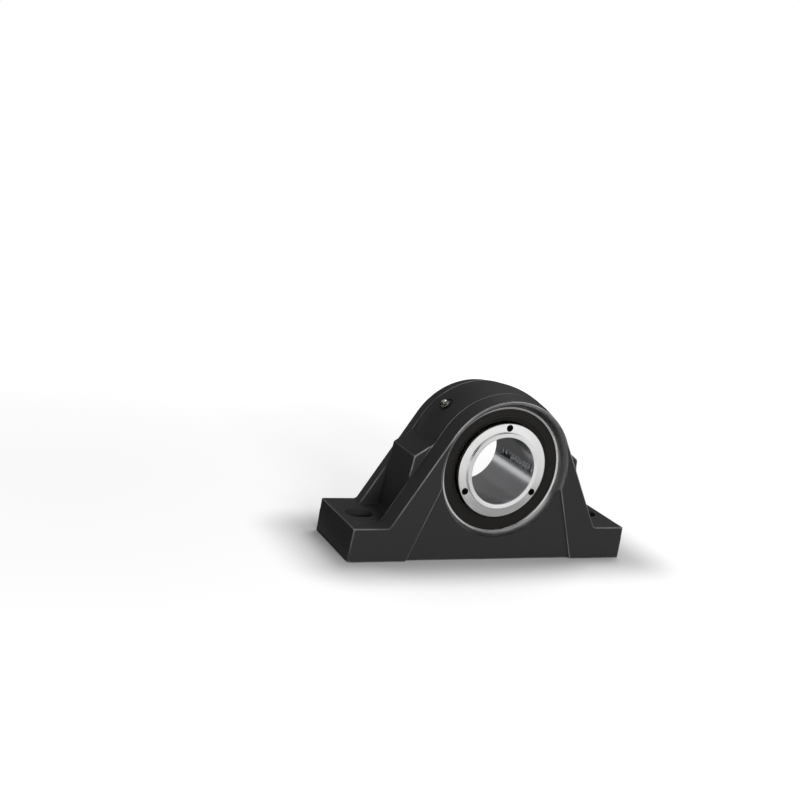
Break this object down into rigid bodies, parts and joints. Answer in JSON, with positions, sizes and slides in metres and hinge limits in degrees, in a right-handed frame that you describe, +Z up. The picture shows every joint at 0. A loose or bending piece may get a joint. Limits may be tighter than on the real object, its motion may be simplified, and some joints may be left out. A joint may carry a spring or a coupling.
{
  "type": "pillow block bearing",
  "caption": "Cast foot-mounted housing with slotted feet and a self-aligning roller bearing that a split stepped sleeve and a screwed collar lock on a shaft.",
  "frame": {"origin": "middle of the base, on its underside", "axes": "+Z up, X along the base, +Y along the shaft from the collar at the front to the rear"},
  "size_m": [0.247, 0.069, 0.1352],
  "materials": {
    "casting": "satin black paint on cast iron",
    "seal": "moulded, semi-matt",
    "ring_steel": "ground",
    "collar_steel": "turned",
    "sleeve_steel": "turned",
    "screw_steel": "black oxide",
    "spring_steel": "oiled spring steel",
    "nipple_steel": "zinc plated",
    "roller_steel": "ground and polished",
    "cage_steel": "phosphated"
  },
  "bodies": {
    "block": {"housing": "casting", "outer_ring": "ring_steel", "front_snap_ring": "spring_steel", "rear_snap_ring": "spring_steel", "front_seal": "seal", "rear_seal": "seal", "nipple_body": "nipple_steel", "nipple_spring": "spring_steel"},
    "guide": {"guide_ring": "cage_steel"},
    "rotor": {"inner_ring": "ring_steel", "stepped_sleeve": "sleeve_steel", "mounting_collar": "collar_steel", "grub_screws": "screw_steel"},
    "front_row": {"front_cage": "cage_steel"},
    "rear_row": {"rear_cage": "cage_steel"},
    "ball": {"nipple_ball": "roller_steel"},
    "front_roller_1": {"front_roller_1": "roller_steel"},
    "front_roller_2": {"front_roller_2": "roller_steel"},
    "front_roller_3": {"front_roller_3": "roller_steel"},
    "front_roller_4": {"front_roller_4": "roller_steel"},
    "front_roller_5": {"front_roller_5": "roller_steel"},
    "front_roller_6": {"front_roller_6": "roller_steel"},
    "front_roller_7": {"front_roller_7": "roller_steel"},
    "front_roller_8": {"front_roller_8": "roller_steel"},
    "front_roller_9": {"front_roller_9": "roller_steel"},
    "front_roller_10": {"front_roller_10": "roller_steel"},
    "front_roller_11": {"front_roller_11": "roller_steel"},
    "front_roller_12": {"front_roller_12": "roller_steel"},
    "front_roller_13": {"front_roller_13": "roller_steel"},
    "front_roller_14": {"front_roller_14": "roller_steel"},
    "front_roller_15": {"front_roller_15": "roller_steel"},
    "front_roller_16": {"front_roller_16": "roller_steel"},
    "front_roller_17": {"front_roller_17": "roller_steel"},
    "front_roller_18": {"front_roller_18": "roller_steel"},
    "front_roller_19": {"front_roller_19": "roller_steel"},
    "rear_roller_1": {"rear_roller_1": "roller_steel"},
    "rear_roller_2": {"rear_roller_2": "roller_steel"},
    "rear_roller_3": {"rear_roller_3": "roller_steel"},
    "rear_roller_4": {"rear_roller_4": "roller_steel"},
    "rear_roller_5": {"rear_roller_5": "roller_steel"},
    "rear_roller_6": {"rear_roller_6": "roller_steel"},
    "rear_roller_7": {"rear_roller_7": "roller_steel"},
    "rear_roller_8": {"rear_roller_8": "roller_steel"},
    "rear_roller_9": {"rear_roller_9": "roller_steel"},
    "rear_roller_10": {"rear_roller_10": "roller_steel"},
    "rear_roller_11": {"rear_roller_11": "roller_steel"},
    "rear_roller_12": {"rear_roller_12": "roller_steel"},
    "rear_roller_13": {"rear_roller_13": "roller_steel"},
    "rear_roller_14": {"rear_roller_14": "roller_steel"},
    "rear_roller_15": {"rear_roller_15": "roller_steel"},
    "rear_roller_16": {"rear_roller_16": "roller_steel"},
    "rear_roller_17": {"rear_roller_17": "roller_steel"},
    "rear_roller_18": {"rear_roller_18": "roller_steel"},
    "rear_roller_19": {"rear_roller_19": "roller_steel"}
  },
  "joints": [
    {"name": "alignment", "type": "hinge", "parent": "block", "child": "guide", "pos_m": [0, 0, 0.0727], "axis": [1, 0, 0], "range_deg": [-1.5, 1.5]},
    {"name": "shaft_turn", "type": "hinge", "parent": "guide", "child": "rotor", "pos_m": [0, 0, 0.0727], "axis": [0, 1, 0], "continuous": true},
    {"name": "front_cage_turn", "type": "hinge", "parent": "guide", "child": "front_row", "pos_m": [0, 0, 0.0727], "axis": [0, 1, 0], "continuous": true},
    {"name": "rear_cage_turn", "type": "hinge", "parent": "guide", "child": "rear_row", "pos_m": [0, 0, 0.0727], "axis": [0, 1, 0], "continuous": true},
    {"name": "front_roller_1_turn", "type": "hinge", "parent": "front_row", "child": "front_roller_1", "pos_m": [0.03532, -0.00708, 0.05359], "axis": [0.1527, 0.9848, -0.0826], "continuous": true},
    {"name": "front_roller_2_turn", "type": "hinge", "parent": "front_row", "child": "front_roller_2", "pos_m": [0.0272, -0.00708, 0.04315], "axis": [0.1176, 0.9848, -0.1278], "continuous": true},
    {"name": "front_roller_3_turn", "type": "hinge", "parent": "front_row", "child": "front_roller_3", "pos_m": [0.01613, -0.00708, 0.03592], "axis": [0.0698, 0.9848, -0.159], "continuous": true},
    {"name": "front_roller_4_turn", "type": "hinge", "parent": "front_row", "child": "front_roller_4", "pos_m": [0.00332, -0.00708, 0.03268], "axis": [0.0143, 0.9848, -0.1731], "continuous": true},
    {"name": "front_roller_5_turn", "type": "hinge", "parent": "front_row", "child": "front_roller_5", "pos_m": [-0.00986, -0.00708, 0.03377], "axis": [-0.0426, 0.9848, -0.1683], "continuous": true},
    {"name": "front_roller_6_turn", "type": "hinge", "parent": "front_row", "child": "front_roller_6", "pos_m": [-0.02197, -0.00708, 0.03908], "axis": [-0.095, 0.9848, -0.1454], "continuous": true},
    {"name": "front_roller_7_turn", "type": "hinge", "parent": "front_row", "child": "front_roller_7", "pos_m": [-0.03169, -0.00708, 0.04803], "axis": [-0.137, 0.9848, -0.1067], "continuous": true},
    {"name": "front_roller_8_turn", "type": "hinge", "parent": "front_row", "child": "front_roller_8", "pos_m": [-0.03798, -0.00708, 0.05966], "axis": [-0.1642, 0.9848, -0.0564], "continuous": true},
    {"name": "front_roller_9_turn", "type": "hinge", "parent": "front_row", "child": "front_roller_9", "pos_m": [-0.04016, -0.00708, 0.0727], "axis": [-0.1736, 0.9848, 0], "continuous": true},
    {"name": "front_roller_10_turn", "type": "hinge", "parent": "front_row", "child": "front_roller_10", "pos_m": [-0.03798, -0.00708, 0.08574], "axis": [-0.1642, 0.9848, 0.0564], "continuous": true},
    {"name": "front_roller_11_turn", "type": "hinge", "parent": "front_row", "child": "front_roller_11", "pos_m": [-0.03169, -0.00708, 0.09737], "axis": [-0.137, 0.9848, 0.1067], "continuous": true},
    {"name": "front_roller_12_turn", "type": "hinge", "parent": "front_row", "child": "front_roller_12", "pos_m": [-0.02197, -0.00708, 0.10632], "axis": [-0.095, 0.9848, 0.1454], "continuous": true},
    {"name": "front_roller_13_turn", "type": "hinge", "parent": "front_row", "child": "front_roller_13", "pos_m": [-0.00986, -0.00708, 0.11163], "axis": [-0.0426, 0.9848, 0.1683], "continuous": true},
    {"name": "front_roller_14_turn", "type": "hinge", "parent": "front_row", "child": "front_roller_14", "pos_m": [0.00332, -0.00708, 0.11272], "axis": [0.0143, 0.9848, 0.1731], "continuous": true},
    {"name": "front_roller_15_turn", "type": "hinge", "parent": "front_row", "child": "front_roller_15", "pos_m": [0.01613, -0.00708, 0.10948], "axis": [0.0698, 0.9848, 0.159], "continuous": true},
    {"name": "front_roller_16_turn", "type": "hinge", "parent": "front_row", "child": "front_roller_16", "pos_m": [0.0272, -0.00708, 0.10225], "axis": [0.1176, 0.9848, 0.1278], "continuous": true},
    {"name": "front_roller_17_turn", "type": "hinge", "parent": "front_row", "child": "front_roller_17", "pos_m": [0.03532, -0.00708, 0.09181], "axis": [0.1527, 0.9848, 0.0826], "continuous": true},
    {"name": "front_roller_18_turn", "type": "hinge", "parent": "front_row", "child": "front_roller_18", "pos_m": [0.03961, -0.00708, 0.07931], "axis": [0.1713, 0.9848, 0.0286], "continuous": true},
    {"name": "front_roller_19_turn", "type": "hinge", "parent": "front_row", "child": "front_roller_19", "pos_m": [0.03961, -0.00708, 0.06609], "axis": [0.1713, 0.9848, -0.0286], "continuous": true},
    {"name": "rear_roller_1_turn", "type": "hinge", "parent": "rear_row", "child": "rear_roller_1", "pos_m": [0.03798, 0.00708, 0.05966], "axis": [-0.1642, 0.9848, 0.0564], "continuous": true},
    {"name": "rear_roller_2_turn", "type": "hinge", "parent": "rear_row", "child": "rear_roller_2", "pos_m": [0.03169, 0.00708, 0.04803], "axis": [-0.137, 0.9848, 0.1067], "continuous": true},
    {"name": "rear_roller_3_turn", "type": "hinge", "parent": "rear_row", "child": "rear_roller_3", "pos_m": [0.02197, 0.00708, 0.03908], "axis": [-0.095, 0.9848, 0.1454], "continuous": true},
    {"name": "rear_roller_4_turn", "type": "hinge", "parent": "rear_row", "child": "rear_roller_4", "pos_m": [0.00986, 0.00708, 0.03377], "axis": [-0.0426, 0.9848, 0.1683], "continuous": true},
    {"name": "rear_roller_5_turn", "type": "hinge", "parent": "rear_row", "child": "rear_roller_5", "pos_m": [-0.00332, 0.00708, 0.03268], "axis": [0.0143, 0.9848, 0.1731], "continuous": true},
    {"name": "rear_roller_6_turn", "type": "hinge", "parent": "rear_row", "child": "rear_roller_6", "pos_m": [-0.01613, 0.00708, 0.03592], "axis": [0.0698, 0.9848, 0.159], "continuous": true},
    {"name": "rear_roller_7_turn", "type": "hinge", "parent": "rear_row", "child": "rear_roller_7", "pos_m": [-0.0272, 0.00708, 0.04315], "axis": [0.1176, 0.9848, 0.1278], "continuous": true},
    {"name": "rear_roller_8_turn", "type": "hinge", "parent": "rear_row", "child": "rear_roller_8", "pos_m": [-0.03532, 0.00708, 0.05359], "axis": [0.1527, 0.9848, 0.0826], "continuous": true},
    {"name": "rear_roller_9_turn", "type": "hinge", "parent": "rear_row", "child": "rear_roller_9", "pos_m": [-0.03961, 0.00708, 0.06609], "axis": [0.1713, 0.9848, 0.0286], "continuous": true},
    {"name": "rear_roller_10_turn", "type": "hinge", "parent": "rear_row", "child": "rear_roller_10", "pos_m": [-0.03961, 0.00708, 0.07931], "axis": [0.1713, 0.9848, -0.0286], "continuous": true},
    {"name": "rear_roller_11_turn", "type": "hinge", "parent": "rear_row", "child": "rear_roller_11", "pos_m": [-0.03532, 0.00708, 0.09181], "axis": [0.1527, 0.9848, -0.0826], "continuous": true},
    {"name": "rear_roller_12_turn", "type": "hinge", "parent": "rear_row", "child": "rear_roller_12", "pos_m": [-0.0272, 0.00708, 0.10225], "axis": [0.1176, 0.9848, -0.1278], "continuous": true},
    {"name": "rear_roller_13_turn", "type": "hinge", "parent": "rear_row", "child": "rear_roller_13", "pos_m": [-0.01613, 0.00708, 0.10948], "axis": [0.0698, 0.9848, -0.159], "continuous": true},
    {"name": "rear_roller_14_turn", "type": "hinge", "parent": "rear_row", "child": "rear_roller_14", "pos_m": [-0.00332, 0.00708, 0.11272], "axis": [0.0143, 0.9848, -0.1731], "continuous": true},
    {"name": "rear_roller_15_turn", "type": "hinge", "parent": "rear_row", "child": "rear_roller_15", "pos_m": [0.00986, 0.00708, 0.11163], "axis": [-0.0426, 0.9848, -0.1683], "continuous": true},
    {"name": "rear_roller_16_turn", "type": "hinge", "parent": "rear_row", "child": "rear_roller_16", "pos_m": [0.02197, 0.00708, 0.10632], "axis": [-0.095, 0.9848, -0.1454], "continuous": true},
    {"name": "rear_roller_17_turn", "type": "hinge", "parent": "rear_row", "child": "rear_roller_17", "pos_m": [0.03169, 0.00708, 0.09737], "axis": [-0.137, 0.9848, -0.1067], "continuous": true},
    {"name": "rear_roller_18_turn", "type": "hinge", "parent": "rear_row", "child": "rear_roller_18", "pos_m": [0.03798, 0.00708, 0.08574], "axis": [-0.1642, 0.9848, -0.0564], "continuous": true},
    {"name": "rear_roller_19_turn", "type": "hinge", "parent": "rear_row", "child": "rear_roller_19", "pos_m": [0.04016, 0.00708, 0.0727], "axis": [-0.1736, 0.9848, 0], "continuous": true},
    {"name": "nipple_valve", "type": "slide", "parent": "block", "child": "ball", "axis": [0.7071, 0, -0.7071], "range_m": [0, 0.001], "stiffness_N_per_m": 400, "springref_m": -0.0005, "deforming": ["nipple_spring"]}
  ],
  "couplings": [
    {"joint": "front_cage_turn", "follows": "shaft_turn", "ratio": 0.44297},
    {"joint": "rear_cage_turn", "follows": "shaft_turn", "ratio": 0.44297},
    {"joint": "front_roller_1_turn", "follows": "shaft_turn", "ratio": -4.3166},
    {"joint": "front_roller_2_turn", "follows": "shaft_turn", "ratio": -4.3166},
    {"joint": "front_roller_3_turn", "follows": "shaft_turn", "ratio": -4.3166},
    {"joint": "front_roller_4_turn", "follows": "shaft_turn", "ratio": -4.3166},
    {"joint": "front_roller_5_turn", "follows": "shaft_turn", "ratio": -4.3166},
    {"joint": "front_roller_6_turn", "follows": "shaft_turn", "ratio": -4.3166},
    {"joint": "front_roller_7_turn", "follows": "shaft_turn", "ratio": -4.3166},
    {"joint": "front_roller_8_turn", "follows": "shaft_turn", "ratio": -4.3166},
    {"joint": "front_roller_9_turn", "follows": "shaft_turn", "ratio": -4.3166},
    {"joint": "front_roller_10_turn", "follows": "shaft_turn", "ratio": -4.3166},
    {"joint": "front_roller_11_turn", "follows": "shaft_turn", "ratio": -4.3166},
    {"joint": "front_roller_12_turn", "follows": "shaft_turn", "ratio": -4.3166},
    {"joint": "front_roller_13_turn", "follows": "shaft_turn", "ratio": -4.3166},
    {"joint": "front_roller_14_turn", "follows": "shaft_turn", "ratio": -4.3166},
    {"joint": "front_roller_15_turn", "follows": "shaft_turn", "ratio": -4.3166},
    {"joint": "front_roller_16_turn", "follows": "shaft_turn", "ratio": -4.3166},
    {"joint": "front_roller_17_turn", "follows": "shaft_turn", "ratio": -4.3166},
    {"joint": "front_roller_18_turn", "follows": "shaft_turn", "ratio": -4.3166},
    {"joint": "front_roller_19_turn", "follows": "shaft_turn", "ratio": -4.3166},
    {"joint": "rear_roller_1_turn", "follows": "shaft_turn", "ratio": -4.3166},
    {"joint": "rear_roller_2_turn", "follows": "shaft_turn", "ratio": -4.3166},
    {"joint": "rear_roller_3_turn", "follows": "shaft_turn", "ratio": -4.3166},
    {"joint": "rear_roller_4_turn", "follows": "shaft_turn", "ratio": -4.3166},
    {"joint": "rear_roller_5_turn", "follows": "shaft_turn", "ratio": -4.3166},
    {"joint": "rear_roller_6_turn", "follows": "shaft_turn", "ratio": -4.3166},
    {"joint": "rear_roller_7_turn", "follows": "shaft_turn", "ratio": -4.3166},
    {"joint": "rear_roller_8_turn", "follows": "shaft_turn", "ratio": -4.3166},
    {"joint": "rear_roller_9_turn", "follows": "shaft_turn", "ratio": -4.3166},
    {"joint": "rear_roller_10_turn", "follows": "shaft_turn", "ratio": -4.3166},
    {"joint": "rear_roller_11_turn", "follows": "shaft_turn", "ratio": -4.3166},
    {"joint": "rear_roller_12_turn", "follows": "shaft_turn", "ratio": -4.3166},
    {"joint": "rear_roller_13_turn", "follows": "shaft_turn", "ratio": -4.3166},
    {"joint": "rear_roller_14_turn", "follows": "shaft_turn", "ratio": -4.3166},
    {"joint": "rear_roller_15_turn", "follows": "shaft_turn", "ratio": -4.3166},
    {"joint": "rear_roller_16_turn", "follows": "shaft_turn", "ratio": -4.3166},
    {"joint": "rear_roller_17_turn", "follows": "shaft_turn", "ratio": -4.3166},
    {"joint": "rear_roller_18_turn", "follows": "shaft_turn", "ratio": -4.3166},
    {"joint": "rear_roller_19_turn", "follows": "shaft_turn", "ratio": -4.3166}
  ]
}
